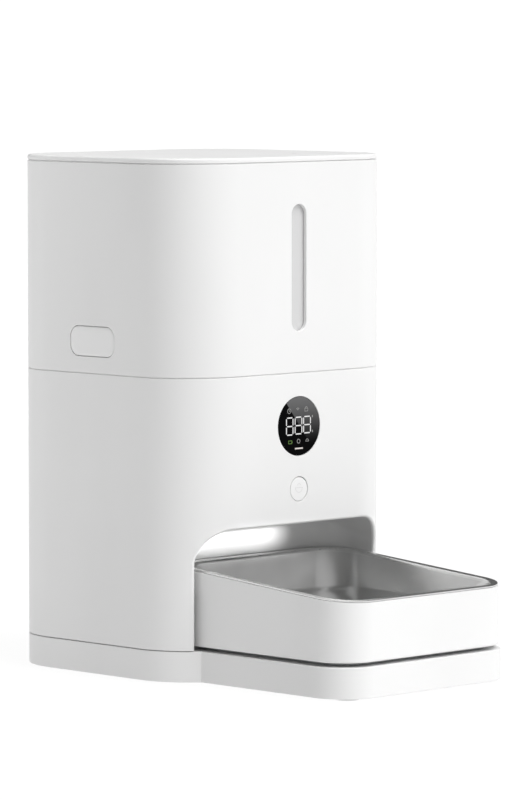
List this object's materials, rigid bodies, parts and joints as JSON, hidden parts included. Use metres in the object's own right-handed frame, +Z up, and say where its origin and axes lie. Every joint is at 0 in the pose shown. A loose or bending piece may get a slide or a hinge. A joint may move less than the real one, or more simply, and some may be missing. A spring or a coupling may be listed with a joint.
{
  "type": "automatic pet feeder",
  "caption": "Automatic dry-food pet feeder: lift-off hopper with lid, portion rotor and chute, front display and feed button, pull-out bowl with a steel dish on a tray base.",
  "frame": {"origin": "middle of the overall length and width, on the surface that the feet stand on", "axes": "+Z up, the bowl and display face -Y, +X is to the right when seen from the front"},
  "size_m": [0.196, 0.293, 0.3315],
  "materials": {
    "shell_white": "fine satin moulded",
    "bay_white": "smooth satin gloss",
    "bowl_white": "smooth satin gloss",
    "button_white": "fine satin moulded",
    "tank_clear": "milky translucent",
    "window_grey": "grey translucent",
    "inner_grey": "plain moulded",
    "gear_cream": "natural acetal",
    "rotor_grey": "dark moulded",
    "bowl_steel": "pressed, satin polished",
    "spring_steel": "nickel plated wire",
    "screw_steel": "zinc plated",
    "cell_aluminium": "milled",
    "motor_metal": "plated can",
    "display_black": "polished black",
    "board_green": "solder mask",
    "module_black": "moulded black",
    "foot_rubber": "soft matt",
    "seal_silicone": "soft silicone",
    "desiccant_white": "porous"
  },
  "bodies": {
    "root": {"base_tray": "shell_white", "bottom_cover": "shell_white", "housing": "shell_white", "bay_liner": "bay_white", "battery_box": "inner_grey", "weighing_platform": "inner_grey", "feed_deck": "inner_grey", "chute": "inner_grey", "portion_guard": "inner_grey", "motor_bracket": "inner_grey", "battery_spring_1": "spring_steel", "battery_spring_2": "spring_steel", "battery_spring_3": "spring_steel", "battery_contact_1": "spring_steel", "battery_contact_2": "spring_steel", "battery_contact_3": "spring_steel", "cover_screw_1": "screw_steel", "cover_screw_2": "screw_steel", "cover_screw_3": "screw_steel", "cover_screw_4": "screw_steel", "cover_screw_5": "screw_steel", "cover_screw_6": "screw_steel", "housing_screw_1": "screw_steel", "housing_screw_2": "screw_steel", "housing_screw_3": "screw_steel", "housing_screw_4": "screw_steel", "load_cell": "cell_aluminium", "gear_motor": "motor_metal", "display_lens": "display_black", "display_board": "board_green", "main_board": "board_green", "display_module": "module_black", "feed_switch": "module_black", "power_inlet": "module_black", "foot_1": "foot_rubber", "foot_2": "foot_rubber", "foot_3": "foot_rubber", "foot_4": "foot_rubber", "foot_5": "foot_rubber", "foot_6": "foot_rubber"},
    "hopper": {"hopper_shell": "shell_white", "hopper_liner": "tank_clear", "hopper_base_plate": "inner_grey", "window_lens": "window_grey", "release_spring_left": "spring_steel", "release_spring_right": "spring_steel"},
    "release_left": {"release_button_left": "button_white"},
    "release_right": {"release_button_right": "button_white"},
    "lid": {"lid": "shell_white", "lid_seal": "seal_silicone", "desiccant_holder": "inner_grey", "desiccant_puck": "desiccant_white"},
    "bowl": {"bowl_holder": "bowl_white"},
    "dish": {"steel_bowl": "bowl_steel"},
    "feed_key": {"feed_button": "button_white"},
    "rotor": {"portion_rotor": "rotor_grey", "agitator": "seal_silicone", "drive_gear": "gear_cream"},
    "pinion": {"motor_pinion": "gear_cream"},
    "door": {"battery_door": "shell_white"}
  },
  "joints": [
    {"name": "hopper_lift", "type": "slide", "parent": "root", "child": "hopper", "axis": [0, 0, 1], "range_m": [0, 0.14]},
    {"name": "lid_lift", "type": "slide", "parent": "hopper", "child": "lid", "axis": [0, 0, 1], "range_m": [0, 0.12]},
    {"name": "left_release_press", "type": "slide", "parent": "hopper", "child": "release_left", "axis": [1, 0, 0], "range_m": [0, 0.0025], "stiffness_N_per_m": 1200, "springref_m": -0.001, "deforming": ["release_spring_left"]},
    {"name": "right_release_press", "type": "slide", "parent": "hopper", "child": "release_right", "axis": [-1, 0, 0], "range_m": [0, 0.0025], "stiffness_N_per_m": 1200, "springref_m": -0.001, "deforming": ["release_spring_right"]},
    {"name": "feed_button_press", "type": "slide", "parent": "root", "child": "feed_key", "axis": [0, 1, 0], "range_m": [0, 0.0012], "stiffness_N_per_m": 1000, "springref_m": -0.0005},
    {"name": "bowl_slide", "type": "slide", "parent": "root", "child": "bowl", "axis": [0, -1, 0], "range_m": [0, 0.16]},
    {"name": "dish_lift", "type": "slide", "parent": "bowl", "child": "dish", "axis": [0, 0, 1], "range_m": [0, 0.012]},
    {"name": "rotor_turn", "type": "hinge", "parent": "root", "child": "rotor", "pos_m": [0, 0.0585, 0.15], "axis": [0, 0, 1], "continuous": true},
    {"name": "pinion_turn", "type": "hinge", "parent": "root", "child": "pinion", "pos_m": [0, 0.09145, 0.14], "axis": [0, 0, 1], "continuous": true},
    {"name": "battery_door_swing", "type": "hinge", "parent": "root", "child": "door", "pos_m": [0, 0.1323, 0.0025], "axis": [1, 0, 0], "range_deg": [0, 100]}
  ],
  "couplings": [
    {"joint": "pinion_turn", "follows": "rotor_turn", "ratio": -4}
  ]
}
